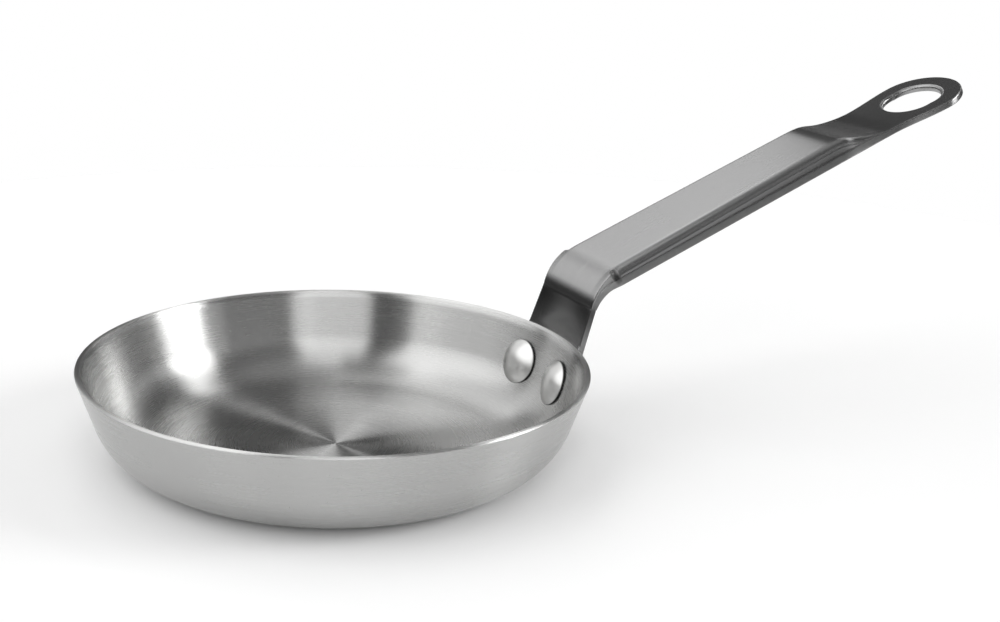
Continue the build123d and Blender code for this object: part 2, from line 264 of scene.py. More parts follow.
def wall_point(size, shift, drop):
    """A point of the wall's outer face, so far down from the rim, shifted outwards."""
    angle = wall_angle(size)
    base = size.rim_radius - size.wall_run
    turn = (base + size.corner_radius * math.sin(angle), size.corner_radius * (1 - math.cos(angle)))
    straight = math.hypot(size.rim_radius - turn[0], size.height - turn[1])
    if drop <= straight:
        r = size.rim_radius - drop * math.cos(angle) + shift * math.sin(angle)
        z = size.height - drop * math.sin(angle) - shift * math.cos(angle)
        return r, z
    slope = angle - (drop - straight) / size.corner_radius
    radius = size.corner_radius + shift
    return base + radius * math.sin(slope), size.corner_radius - radius * math.cos(slope)


def body_profile(size):
    """The sheet's cross-section: base, outer wall, rim, inner wall, floor."""
    angle = wall_angle(size)
    base = size.rim_radius - size.wall_run
    corner = (base, size.corner_radius)
    rim = size.rim_rounding
    flat = [*BASE_RINGS, base - CORNER_SUPPORT]
    outer = [(r, 0.0) for r in flat]
    outer += arc_points(corner, size.corner_radius, -QUARTER, angle - QUARTER, CORNER_STEPS)

    def up_wall(shift, shares):
        low = wall_point(size, shift, 0)
        drop = math.hypot(low[0] - (base + (size.corner_radius + shift) * math.sin(angle)),
                          low[1] - (size.corner_radius - (size.corner_radius + shift) * math.cos(angle)))
        return [wall_point(size, shift, drop * (1 - share)) for share in shares]

    outer += up_wall(0, WALL_SHARES)
    top = size.height
    reach = rim / math.tan(angle / 2)
    outer_edge = wall_point(size, 0, 0)
    sine, cosine = math.sin(angle), math.cos(angle)
    lean = angle - QUARTER
    reach_out = rim * math.tan((math.pi - angle) / 2)
    ball = (outer_edge[0] - reach_out, top - rim)
    held = reach_out + RIM_SUPPORT
    outer.append((outer_edge[0] - held * cosine, top - held * sine))
    outer += arc_points(ball, rim, lean, QUARTER, RIM_STEPS)
    inner_x = outer_edge[0] - size.sheet / sine
    ball = (inner_x + reach, top - rim)
    outer += arc_points(ball, rim, QUARTER, math.pi + lean, RIM_STEPS)
    held = reach + RIM_SUPPORT
    inner = [(inner_x - held * cosine, top - held * sine)]
    inner += list(reversed(up_wall(-size.sheet, WALL_SHARES)))
    inner_radius = size.corner_radius - size.sheet
    inner_corner = arc_points(corner, inner_radius, -QUARTER, angle - QUARTER, CORNER_STEPS)
    inner += list(reversed(inner_corner))
    inner += [(r, size.sheet) for r in reversed(flat)]
    return outer + inner


# The rivets

def rivet_profile(size, body, strip):
    """One rivet along its axis: head, shank through both sheets, tail."""
    head, tail = size.head_diameter / 2, size.tail_diameter / 2
    head_edge, head_dome = 0.6 * MM, 1.7 * MM
    tail_edge, tail_dome = 0.5 * MM, 1.3 * MM
    soft, undercut, least_side = 0.22 * MM, 0.28 * MM, 0.05 * MM
    shank = 2.5 * MM
    dome_steps, edge_steps = 14, 6

    def button(radius, edge, dome, base, way, foot):
        """Half of a domed button, from its crown to its foot."""
        ball = (radius ** 2 + dome ** 2) / (2 * dome)
        half = math.asin(radius / ball)
        crown = base + way * (edge + dome)
        row = []
        for step in range(dome_steps + 1):
            a = (half - soft / ball) * step / dome_steps
            row.append((ball * math.sin(a), crown - way * ball * (1 - math.cos(a))))
        last = row[-1]
        side = base + way * edge
        for step in range(1, edge_steps):
            t = step / edge_steps
            bow = (1 - t) ** 2, 2 * t * (1 - t), t ** 2
            row.append((bow[0] * last[0] + bow[1] * radius + bow[2] * radius,
                        bow[0] * last[1] + bow[1] * side + bow[2] * (side - way * soft)))
        row.append((radius, side - way * soft))
        lift = min(undercut, edge - soft - least_side)
        row.append((radius, base + way * lift))
        row.append((radius - undercut, base))
        row.append((radius - undercut, base - way * foot))
        return row

    points = button(head, head_edge, head_dome, -body.sheet, -1, body.sheet / 2)
    points += [(shank, -body.sheet / 2), (shank, strip.sheet / 2)]
    points += list(reversed(button(tail, tail_edge, tail_dome, strip.sheet, 1, strip.sheet / 2)))
    return points


def rivet_seat(size, body, side):
    """Where a rivet's axis meets the wall's outer face, and the turn that lays Z along the outward normal."""
    angle = wall_angle(body)
    radius = body.rim_radius - size.drop * math.cos(angle)
    around = side * math.asin(size.spread / 2 / radius)
    seat = (radius * math.cos(around), radius * math.sin(around), body.height - size.drop * math.sin(angle))
    return seat, (0.0, math.pi - angle, around)


# The handle

FLAT_MAP = "along_the_strip"
SHEARED_MARK = "sheared_edge"


def smoothstep(low, high, value):
    t = min(max((value - low) / (high - low), 0.0), 1.0)
    return t * t * (3 - 2 * t)


class Strip:
    """The pressed strip in its own frame: along the channel, across, and up from its top. Millimetres."""
    TANG_DROP, TANG_HALF, TANG_CORNER = 18.8, 15.5, 6.5
    RIM_HALF, BEND_HALF = 12.7, 12.0
    UNDER_RADIUS = 9.0
    START, START_DEPTH, START_HALF = 5.0, 4.7, 11.7
    CHANNEL_FROM_TIP, NECK_FROM_TIP, NECK_DEPTH, NECK_HALF = 47.1, 29.6, 6.4, 10.3
    STEP_RADIUS, DRAFT = 6.0, math.radians(8)
    EYE_RADIUS, EYE_START_FROM_TIP = 12.0, 26.6
    HOLE_FROM_TIP, HOLE_LIP, HOLE_LOW_LIP = 14.2, 0.9, 0.3
    SHEAR_STEP, SHEAR_RAMP, SHEAR_EASE = 0.22, 0.35, (0.3, 1.4)
    DART_DEPTH, DART_REACH, DART_SHIFT, DART_LEAST = 0.42, 0.42, 0.1, 0.01
    DART_INSET, DART_DOWN, DART_MIDDLE, DART_SPREAD = 1.6, 3.2, 1.0, 1.1
    DRAFT_EASE = 0.5, 5.5
    FOLD_FROM, FOLD_FULL, FOLD_EASE = 0.7, 0.5, (0.1, 3.0)
    FOLD_SUPPORT, FOLD_CROWDING = 0.12, 0.85
    INNER_ROOT = 0.5
    # The press draws its curves in softly, over a longer reach at the step
    SOFT_FROM, SOFT_UNTIL, SOFT_END = (1.0, 5.0), 1, 2.5
    SOFT_REACH, SOFT_REACH_MORE, SOFT_STEP = 0.9, 1.3, (60, 72)
    PAST_STRAP, PAST_TIP = 2, 4
    # Rows of points: near the tang's end, up the tang, and along each stretch after it
    TANG_ROWS = 0.0, 0.05, 0.15, 0.3, 0.45, 0.7, 1.1, 1.6, 2.2, 2.9, 3.7, 4.6, 5.6, 6.6
    TANG_REST, TANG_WIDEST = (11.6, 0.5, 22), 10.7
    STRAP_ROWS, BEND_ROWS, CHANNEL_ROWS, STEP_ROWS, NECK_ROWS = 18, 41, 74, 17, 29
    KINK_BEFORE, KINK_AFTER, KINK_ROUNDS = 3, 4, 6
    RING_SHARES = 0.0, 0.03, 0.15, 0.35, 0.58, 0.8, 0.95, 1.0
    TOP_COLUMNS, SIDE_COLUMNS, SHEARED_FROM = 24, 27, 42

    def __init__(self, size, body):
        self.body = body
        self.sheet = size.sheet / MM
        self.edge = size.edge_radius / MM
        self.crease = size.crease_radius / MM
        self.rise = size.strap_rise / MM
        self.bend = size.bend_radius / MM
        self.reach = size.reach / MM
        self.pitch = size.pitch
        self.turn = size.strap_angle - size.pitch
        self.hole_half = size.hole_length / MM / 2
        self.hole_radius = size.hole_width / MM / 2
        rim = body.rim_radius / MM, body.height / MM
        self.corner = (rim[0] + self.rise * math.cos(size.strap_angle),
                       rim[1] + self.rise * math.sin(size.strap_angle))
        self.channel_end = self.reach - self.CHANNEL_FROM_TIP
        self.neck = self.reach - self.NECK_FROM_TIP
        self.slope = (self.NECK_DEPTH - self.START_DEPTH) / (self.neck - self.START)
        self.tilt = math.atan(self.slope)
        self.tangent = self.bend * math.tan(self.turn / 2)
        self.under = self.under_points()

    def floor(self, along, lift=0.0):
        return -self.START_DEPTH - (along - self.START) * self.slope + lift / math.cos(self.tilt)

    def strap(self, back, shift):
        sine, cosine = math.sin(self.turn), math.cos(self.turn)
        return np.array((shift * sine - back * cosine, -shift * cosine - back * sine))

    def under_points(self):
        """Lower outline of the folded flanks, from the strap to the tip."""
        gap = self.strap(0, self.sheet)
        back = (gap[1] - self.floor(gap[0])) / (math.sin(self.turn) + self.slope * math.cos(self.turn))
        turn = self.turn + self.tilt
        run = self.UNDER_RADIUS * math.tan(turn / 2)
        foot = self.strap(back, self.sheet)
        along = foot[0] + run * math.cos(self.tilt)
        center = (along - self.UNDER_RADIUS * math.sin(self.tilt),
                  self.floor(along) - self.UNDER_RADIUS * math.cos(self.tilt))
        first = QUARTER - self.tilt + turn
        bow = arc_points(center, self.UNDER_RADIUS, first, QUARTER - self.tilt, 40)
        points = [self.strap(self.rise + self.PAST_STRAP, self.sheet)] + [np.array(p) for p in bow]
        end = self.reach + self.PAST_TIP
        points.append(np.array((end, self.floor(end))))
        return np.array(points)

    def top_path(self, eye_start):
        """Stations along the middle of the top face: place and slope."""
        path = []
        for back in np.linspace(self.rise, self.tangent, self.STRAP_ROWS)[:-1]:
            path.append((*self.strap(back, 0), self.turn))
        for a in np.linspace(0, 1, self.BEND_ROWS)[:-1]:
            slope = self.turn * (1 - a)
            path.append((self.tangent - self.bend * math.sin(slope),
                         -self.bend * (1 - math.cos(slope)), slope))
        for along in np.linspace(self.tangent, self.channel_end, self.CHANNEL_ROWS)[:-1]:
            path.append((along, 0.0, 0.0))
        first = np.array((self.channel_end, -self.STEP_RADIUS))
        foot = np.array((self.neck, self.floor(self.neck, self.sheet)))
        up = np.array((math.sin(self.tilt), math.cos(self.tilt)))
        span = foot - first
        rise = span @ up
        radius = (span @ span - self.STEP_RADIUS ** 2) / (2 * (self.STEP_RADIUS - rise))
        last = foot + radius * up
        meet = math.atan2(*(last - first)[::-1])
        fall = QUARTER - meet
        for a in np.linspace(0, 1, self.STEP_ROWS)[:-1]:
            slope = fall * a
            path.append((first[0] + self.STEP_RADIUS * math.sin(slope),
                         first[1] + self.STEP_RADIUS * math.cos(slope), -slope))
        for a in np.linspace(0, 1, self.NECK_ROWS)[:-1]:
            slope = fall + (self.tilt - fall) * a
            path.append((last[0] - radius * math.sin(slope), last[1] - radius * math.cos(slope), -slope))
        for along in (*np.linspace(self.neck, eye_start, 6), *np.linspace(eye_start + 1, eye_start + 9, 9)):
            path.append((along, self.floor(along, self.sheet), -self.tilt))
        return [p for p in self.eased(path) if p[0] <= eye_start]

    def eased(self, path):
        """The same path with its curves drawn in softly, as a press leaves them."""
        place = np.array([p[:2] for p in path])
        travel = np.concatenate([[0], np.cumsum(np.linalg.norm(np.diff(place, axis=0), axis=1))])
        length = np.gradient(travel)
        soft = []
        for i, (along, level, slope) in enumerate(path):
            until = smoothstep(self.neck - self.SOFT_UNTIL, self.neck + self.SOFT_END, along)
            share = smoothstep(*self.SOFT_FROM, travel[i]) * (1 - until)
            reach = self.SOFT_REACH + self.SOFT_REACH_MORE * smoothstep(*self.SOFT_STEP, along)
            weight = np.exp(-((travel - travel[i]) / reach) ** 2 / 2) * length
            middle = (weight @ place) / weight.sum()
            soft.append(np.array((along, level)) * (1 - share) + middle * share)
        soft = np.array(soft)
        way = np.gradient(soft, axis=0)
        slopes = [p[2] if i < 4 or p[0] > self.neck else math.atan2(way[i][1], way[i][0])
                  for i, p in enumerate(path)]
        return [(a, b, c) for (a, b), c in zip(soft, slopes)]

    def depth(self, along, level, slope):
        """How deep the folded flank reaches under a station, square to the top."""
        way = np.array((math.cos(slope), math.sin(slope)))
        down = np.array((math.sin(slope), -math.cos(slope)))
        rel = self.under - np.array((along, level))
        a, b = rel @ way, rel @ down
        found = []
        for i in range(len(a) - 1):
            if (a[i] <= 0) != (a[i + 1] <= 0):
                t = a[i] / (a[i] - a[i + 1])
                hit = b[i] + t * (b[i + 1] - b[i])
                if hit > 0:
                    found.append(hit)
        return min(found) if found else self.sheet

    def plane(self, along, slope):
        """Tilt of a station's section: square to the top, but over the step square to the channel."""
        if along <= self.channel_end:
            return slope
        return -self.tilt * min((along - self.channel_end) / (self.neck - self.channel_end), 1)

    def half_width(self, along, level):
        """Where the fold lies beside the middle of the top face."""
        if along <= 0:
            return self.BEND_HALF
        waist = self.NECK_HALF - self.NECK_DEPTH * math.tan(self.DRAFT)
        if along < self.START:
            t = along / self.START
            return self.BEND_HALF + (self.START_HALF - self.BEND_HALF) * t
        t = min((along - self.START) / (self.neck - self.START), 1)
        half = self.START_HALF + (waist - self.START_HALF) * t - level * math.tan(self.DRAFT)
        if along > self.neck:
            u = (along - self.neck) / (self.reach - self.EYE_RADIUS - self.neck)
            half = self.NECK_HALF + (self.EYE_RADIUS - self.NECK_HALF) * u * u * (3 - 2 * u)
            half -= self.sheet * math.tan(self.DRAFT)
        return half

    def fold_radius(self, along, fold):
        """A cut edge on the strap, the bend and the neck, a soft fold on the channel."""
        start = smoothstep(self.START - self.FOLD_FROM, self.START + self.FOLD_FULL, along)
        folded = smoothstep(*self.FOLD_EASE, fold)
        return self.edge + (self.crease - self.edge) * folded * start

    def section(self, half, depth, radius, draft, sheet):
        """Half of the strip's cross-section, from the middle of the top round to the middle below."""
        radius = min(radius, depth * 0.6)
        sine, cosine = math.sin(draft), math.cos(draft)
        run = radius * math.tan((QUARTER - draft) / 2)
        flat = half - run
        points = [(flat * s, 0.0) for s in np.linspace(0, 1, self.TOP_COLUMNS)[:-1] ** self.FOLD_CROWDING]
        points += [(flat - self.FOLD_SUPPORT, 0.0), (flat, 0.0)]
        center = (flat, radius)
        for a in np.linspace(0, QUARTER - draft, 13)[1:]:
            points.append((center[0] + radius * math.sin(a), center[1] - radius * math.cos(a)))
        low = min(self.edge, depth * 0.25)
        low_run = low * math.tan((QUARTER + draft) / 2)
        foot = (half + depth * sine / cosine, depth)
        top, way, out = np.array(points[-1]), np.array((sine, cosine)), np.array((cosine, -sine))
        bottom = np.array((foot[0] - low_run * sine, depth - low_run * cosine))
        upper = max((np.array(foot) - top) @ way - sheet, 0.0)
        inset = self.SHEAR_STEP * smoothstep(*self.SHEAR_EASE, upper)
        ramp = min(self.SHEAR_RAMP, upper / 2)
        for t in (0.08, 0.35, 0.65, 1.0):
            points.append(tuple(top + way * (upper - ramp) * t - out * inset * t))
        for t, share in ((0.35, 0.85), (0.7, 0.25), (1.0, 0.0)):
            points.append(tuple(top + way * (upper - ramp * (1 - t)) - out * inset * share))
        band = top + way * upper
        for t in (0.08, 0.5, 1.0):
            points.append(tuple(band + (bottom - band) * t))
        center = (foot[0] - low_run, depth - low)
        for a in np.linspace(QUARTER - draft, math.pi, 6)[1:]:
            points.append((center[0] + low * math.sin(a), center[1] - low * math.cos(a)))
        inner = foot[0] - sheet / cosine
        cut = points[-1][0]
        for t in (0.1, 0.9, 1.0):
            points.append((cut + (inner - cut) * t, depth))
        up = max(depth - sheet, 0.0)
        bend = min(self.INNER_ROOT, up * 0.6)
        root = inner - up * sine / cosine
        for t in (0.25, 0.5, 0.75, 1.0):
            d = up - bend
            points.append((inner - d * t * sine / cosine, depth - d * t))
        for a in np.linspace(0, QUARTER, 5)[1:]:
            points.append((root - bend * (1 - math.cos(a)), sheet + bend * (1 - math.sin(a))))
        end = points[-1][0]
        for s in np.linspace(1, 0, 14)[1:]:
            points.append((end * s, sheet))
        return np.array(points)

    def place(self, along, level, slope, section):
        """Section points (across, down) as points in space."""
        down = np.array((math.sin(slope), -math.cos(slope)))
        flat = np.array((along, level)) + section[:, 1:2] * down
        return self.to_world(flat[:, 0], section[:, 0], flat[:, 1])

    def to_world(self, along, across, level):
        sine, cosine = math.sin(self.pitch), math.cos(self.pitch)
        x = self.corner[0] + along * cosine - level * sine
        z = self.corner[1] + along * sine + level * cosine
        return np.stack([x, across, z], 1)


def full_loop(half_points):
    """A half section and its mirror image as one closed loop."""
    mirrored = half_points[-2:0:-1] * np.array((-1, 1))
    return np.concatenate([half_points, mirrored])


def on_wall(body, section, drop):
    """Section points laid on the wall's outer face, so far down from the rim."""
    points = []
    for across, shift in section:
        r, z = wall_point(body, shift * MM, drop * MM)
        r, z = r / MM, z / MM
        points.append((math.sqrt(r * r - across * across), across, z))
    return np.array(points)


def tang_rows(strip):
    """The foot of the strip, lying against the outside of the wall."""
    rows, run = [], []
    body = strip.body
    low = wall_point(body, 0, strip.TANG_DROP * MM)[1] / MM
    drops = [strip.TANG_DROP - e for e in strip.TANG_ROWS] + list(np.linspace(*strip.TANG_REST))
    for drop in drops:
        z = wall_point(body, 0, drop * MM)[1] / MM
        share = min(drop / strip.TANG_WIDEST, 1)
        half = strip.RIM_HALF + (strip.TANG_HALF - strip.RIM_HALF) * share
        up = z - low
        if up < strip.TANG_CORNER:
            bite = strip.TANG_CORNER - up
            half -= strip.TANG_CORNER - math.sqrt(max(strip.TANG_CORNER ** 2 - bite ** 2, 0))
        section = full_loop(strip.section(half, strip.sheet, strip.edge, 0.0, strip.sheet))
        end = strip.TANG_DROP - drop
        if end < strip.edge:
            bite = strip.edge - math.sqrt(max(strip.edge ** 2 - (strip.edge - end) ** 2, 0))
            section[:, 1] *= (strip.sheet - bite) / strip.sheet
        rows.append(on_wall(body, section, drop))
        run.append((-drop, section))
    return rows, run


def strap_and_channel_rows(strip, path):
    """From the rim over the bend and along the channel to where the eye starts."""
    rows, run = [], []
    travelled = 0.0
    previous = None
    for along, level, slope in path:
        if previous is not None:
            travelled += math.hypot(along - previous[0], level - previous[1])
        previous = (along, level)
        back = -(along * math.cos(strip.turn) + level * math.sin(strip.turn))
        plane = strip.plane(along, slope)
        sheet = strip.sheet / math.cos(slope - plane)
        depth = max(strip.depth(along, level, plane), sheet)
        draft = strip.DRAFT * smoothstep(*strip.DRAFT_EASE, along)
        half = strip.half_width(along, level)
        share = 0.0
        if back > strip.tangent:
            share = smoothstep(strip.tangent, strip.rise, back)
            half = strip.BEND_HALF
            depth = strip.sheet
        radius = strip.fold_radius(along, depth - sheet)
        section = full_loop(strip.section(half, depth, radius, draft, sheet))
        points = strip.place(along, level, plane, section)
        if share > 0:
            wide = section.copy()
            wide[:, 0] *= strip.RIM_HALF / strip.BEND_HALF
            at_rim = on_wall(strip.body, wide, 0)
            at_bend = strip.place(*strip.strap(strip.tangent, 0), strip.turn, section)
            points = at_rim * share + at_bend * (1 - share)
        rows.append(points)
        run.append((travelled, section))
    return rows, run


def soften_rim_kink(rows, first, last, rounds):
    """The strip leaves the wall in a soft bend, not a kink."""
    for _ in range(rounds):
        copy = [r.copy() for r in rows]
        for i in range(first, last):
            rows[i] = copy[i] * 0.5 + (copy[i - 1] + copy[i + 1]) * 0.25


def dart(strip, points, section, along):
    """The small pinch where each fold starts."""
    near = math.exp(-((along - strip.START + strip.DART_SHIFT) / strip.DART_REACH) ** 2)
    if near < strip.DART_LEAST:
        return points
    across, down = section[:, 0], section[:, 1]
    side = np.sign(across)
    outer = (np.abs(across) > strip.START_HALF - strip.DART_INSET) & (down < strip.DART_DOWN)
    fade = np.exp(-((down - strip.DART_MIDDLE) / strip.DART_SPREAD) ** 2)
    pushed = points.copy()
    pushed[:, 1] -= side * outer * fade * near * strip.DART_DEPTH
    return pushed


def hole_outline(strip, angles, grow):
    """The hanging hole's edge in the direction of each angle from its middle."""
    straight = strip.hole_half - strip.hole_radius
    radius = strip.hole_radius + grow
    points = []
    for a in angles:
        c, s = math.cos(a), math.sin(a)
        ray = abs(c) * straight + math.sqrt(max(radius ** 2 - (straight * s) ** 2, 0))
        points.append((ray * c, ray * s))
    return np.array(points)


def bridge(faces, a, b, count, closed=True):
    """Quads between two rows of points, given by where each row starts."""
    for j in range(count if closed else count - 1):
        k = (j + 1) % count
        faces.append((a + j, b + j, b + k, a + k))


class StripShell:
    """Points, faces, a flat map and the sheared edge's marks of the whole strip."""

    def __init__(self, size, body):
        strip = self.strip = Strip(size, body)
        self.eye_start = strip.reach - strip.EYE_START_FROM_TIP
        self.hole_middle = np.array((strip.reach - strip.HOLE_FROM_TIP, 0))
        self.points, self.faces, self.flat_map, self.sheared = [], [], [], []
        self.travel, section = self.build_length()
        self.half_section = section[:len(section) // 2 + 1]
        self.build_eye()

    def build_length(self):
        """From the tang's end to where the eye starts, closed at the tang's end."""
        strip, faces = self.strip, self.faces
        path = strip.top_path(self.eye_start)
        rows, run = tang_rows(strip)
        rim = len(rows)
        upper, upper_run = strap_and_channel_rows(strip, path)
        rows += upper
        run += upper_run
        soften_rim_kink(rows, rim - strip.KINK_BEFORE, rim + strip.KINK_AFTER, strip.KINK_ROUNDS)
        for row, (along, _, _) in enumerate(path, rim):
            rows[row] = dart(strip, rows[row], run[row][1], along)
        count = len(rows[0])
        self.points += [p for row in rows for p in row]
        self.flat_map += [(u, s[0] * (1 + s[1] / strip.BEND_HALF)) for u, section in run for s in section]
        last_sheared = strip.TOP_COLUMNS + strip.SIDE_COLUMNS
        marks = [1.0 if strip.SHEARED_FROM <= min(j, count - j) <= last_sheared else 0.0
                 for j in range(count)]
        self.sheared += marks * len(rows)
        for i in range(len(rows) - 1):
            bridge(faces, i * count, (i + 1) * count, count)
        half = count // 2
        for j in range(strip.TOP_COLUMNS):
            low, low_next = half - j, half - j - 1
            faces.append((j, j + 1, low_next, low))
            faces.append(((count - j) % count, half + j, half + j + 1, count - j - 1))
        side = range(strip.TOP_COLUMNS, last_sheared + 1)
        faces.append(tuple(side))
        faces.append(tuple((count - j) % count for j in reversed(side)))
        return run[-1]

    def add(self, place, down, mark=0.0):
        """A row of points on the eye's plate, so deep under its top; gives where the row starts."""
        strip = self.strip
        start = len(self.points)
        along, across = place[:, 0], place[:, 1]
        level = np.array([strip.floor(a, strip.sheet) for a in along])
        deep = np.full(len(place), down)
        self.points.extend(strip.to_world(along + deep * -math.sin(strip.tilt), across,
                                          level - deep * math.cos(strip.tilt)))
        self.sheared.extend([mark] * len(place))
        self.flat_map.extend((self.travel + a - self.eye_start, c * (1 + down / strip.BEND_HALF))
                             for a, c in place)
        return start

    def eye_outline(self, flat_half):
        """The eye's edge where its top is still flat, and the way out from it."""
        strip, start = self.strip, self.eye_start
        wide = strip.reach - strip.EYE_RADIUS
        rounding = strip.half_width(start, -1) - flat_half
        end_half = strip.half_width(wide, -1) - rounding
        side_line = [(a, strip.half_width(a, -1) - rounding) for a in np.linspace(start, wide, 27)[:-1]]
        outline = list(side_line)
        for a in np.linspace(QUARTER, -QUARTER, 61):
            outline.append((wide + end_half * math.cos(a), end_half * math.sin(a)))
        outline += [(along, -half) for along, half in reversed(side_line)]
        outline = np.array(outline)
        way = np.gradient(outline, axis=0)
        outward = np.stack([-way[:, 1], way[:, 0]], 1)
        outward /= np.linalg.norm(outward, axis=1)[:, None]
        outward *= np.sign(np.sum(outward * (outline - self.hole_middle), 1))[:, None]
        outward[0], outward[-1] = (0, 1), (0, -1)
        return outline, outward

    def ring_face(self, half_row, edge_points, down, grow, flip):
        """Flat face between the outline and the hole, at one level."""
        row = [-c for c in reversed(half_row)] + list(half_row[1:])
        left = np.array([(self.eye_start, across) for across in row])
        outer = np.concatenate([left, edge_points[1:-1]])
        angles = np.arctan2(outer[:, 1], outer[:, 0] - self.hole_middle[0])
        inner = hole_outline(self.strip, angles, grow) + self.hole_middle
        starts = [self.add(outer + (inner - outer) * share, down) for share in self.strip.RING_SHARES]
        n = len(outer)
        for a, b in zip(starts[:-1], starts[1:]):
            for j in range(n):
                k = (j + 1) % n
                quad = (a + j, a + k, b + k, b + j)
                self.faces.append(quad if flip else quad[::-1])
        return angles, starts[-1], n

    def build_eye(self):
        """The flat end: its edge, its two faces and the wall of the hanging hole."""
        strip, half_section = self.strip, self.half_section
        top, last = strip.TOP_COLUMNS, strip.TOP_COLUMNS + strip.SIDE_COLUMNS
        flat_half = half_section[top][0]
        outline, outward = self.eye_outline(flat_half)
        starts = []
        for column, (across, down) in enumerate(half_section[top:last + 1], top):
            mark = 1.0 if column >= strip.SHEARED_FROM else 0.0
            starts.append(self.add(outline + outward * (across - flat_half), down, mark))
        for a, b in zip(starts[:-1], starts[1:]):
            bridge(self.faces, a, b, len(outline), closed=False)
        top_edge = outline + outward * (half_section[top][0] - flat_half)
        bottom_edge = outline + outward * (half_section[last][0] - flat_half)
        lip, low_lip = strip.HOLE_LIP, strip.HOLE_LOW_LIP
        top_row = half_section[:top + 1, 0]
        bottom_row = half_section[last:, 0][::-1]
        angles, previous, n = self.ring_face(top_row, top_edge, 0.0, lip, False)
        _, bottom_inner, m = self.ring_face(bottom_row, bottom_edge, strip.sheet, low_lip, True)
        if n != m:
            raise RuntimeError("the eye's two faces have different counts")
        profile = [(lip * (1 - math.sin(a)), lip * (1 - math.cos(a)))
                   for a in np.linspace(0, QUARTER, 10)[1:]]
        wall_low = strip.sheet - low_lip
        profile += [(0.0, lip + (wall_low - lip) * t) for t in (0.2, 0.8, 1.0)]
        profile += [(low_lip * (1 - math.cos(a)), wall_low + low_lip * math.sin(a))
                    for a in np.linspace(0, QUARTER, 5)[1:]]
        for grow, down in profile:
            start = self.add(hole_outline(strip, angles, grow) + self.hole_middle, down)
            bridge(self.faces, previous, start, n)
            previous = start
        bridge(self.faces, previous, bottom_inner, n)


def handle_mesh(size, body):
    shell = StripShell(size, body)
    mesh = mesh_from("handle_strip", np.array(shell.points) * MM, shell.faces)
    layer = mesh.uv_layers.new(name=FLAT_MAP)
    index = np.zeros(len(mesh.loops), np.int32)
    mesh.loops.foreach_get("vertex_index", index)
    layer.data.foreach_set("uv", (np.array(shell.flat_map)[index] * MM).astype(np.float32).ravel())
    marks = mesh.attributes.new(SHEARED_MARK, "FLOAT", "POINT")
    marks.data.foreach_set("value", np.array(shell.sheared, np.float32))
    work = bmesh.new()
    work.from_mesh(mesh)
    bmesh.ops.remove_doubles(work, verts=work.verts, dist=6 * FINE)
    bmesh.ops.dissolve_degenerate(work, edges=work.edges, dist=FINE)
    bmesh.ops.recalc_face_normals(work, faces=work.faces)
    for face in work.faces:
        face.smooth = True
    work.to_mesh(mesh)
    work.free()
    return mesh


# Steel

# Grain lines to the metre across the brushing, and how fast they drift along it
RING_LINES, RING_DRIFT = 5200.0, 40.0
STRIP_LINES, STRIP_DRIFT = 4200.0, 60.0
EVEN_GRAIN = 900.0
HAIR_SCALE = 90.0, 3800.0, 3800.0
HAIR_TURNS = (0.3, 0.2, 0.5), (-0.4, 0.1, 2.0), (0.2, -0.5, 3.7)
HAIR_LIMITS = 0.735, 0.78

# Where a zone of the surface starts and is full, in metres. Up the pan, and out from a rivet's foot
# The cut rim's band is painted lighter, a painted highlight along the rim
CUT_RIM = 0.02195, 0.02215
# Painted shade in the crevice round a rivet head's foot: where it starts and where it is full
CREVICE_SHADE_TOP, CREVICE_SHADE_FOOT = (0.82 * MM, 0.52 * MM), (-1.0 * MM, -0.5 * MM)
# Along the strip from the rim
BRUSHED_START, BRUSHED_END = (0.011, 0.020), (0.106, 0.086)
# Painted shade on the strap, and painted light just beside the rim
STRAP, BESIDE_RIM = (0.013, 0.008), (0.0075, 0.0015)
NECK_START, NECK_END, EYE = (0.098, 0.104), (0.122, 0.112), (0.116, 0.128)
# Along the strip from the dart, and across the strip from its middle
# The dart's zones give where its painted shade lies
DART_START, DART_END = (-0.0018, -0.0004), (0.0014, 0.0002)
DART_INNER, DART_OUTER = (0.0102, 0.0112), (0.0165, 0.0150)
# FLANK gives where the painted shade on the folded flank starts and where it is full
BRUSHED_SIDE, FLANK = (0.0104, 0.0092), (0.0122, 0.0138)


def new_group(name, inputs, outputs):
    group = bpy.data.node_groups.new(name, "ShaderNodeTree")
    for title, kind, value in inputs:
        socket = group.interface.new_socket(name=title, in_out="INPUT", socket_type=kind)
        if value is not None:
            socket.default_value = value
    for title, kind in outputs:
        group.interface.new_socket(name=title, in_out="OUTPUT", socket_type=kind)
    return group, group.nodes.new("NodeGroupInput"), group.nodes.new("NodeGroupOutput")


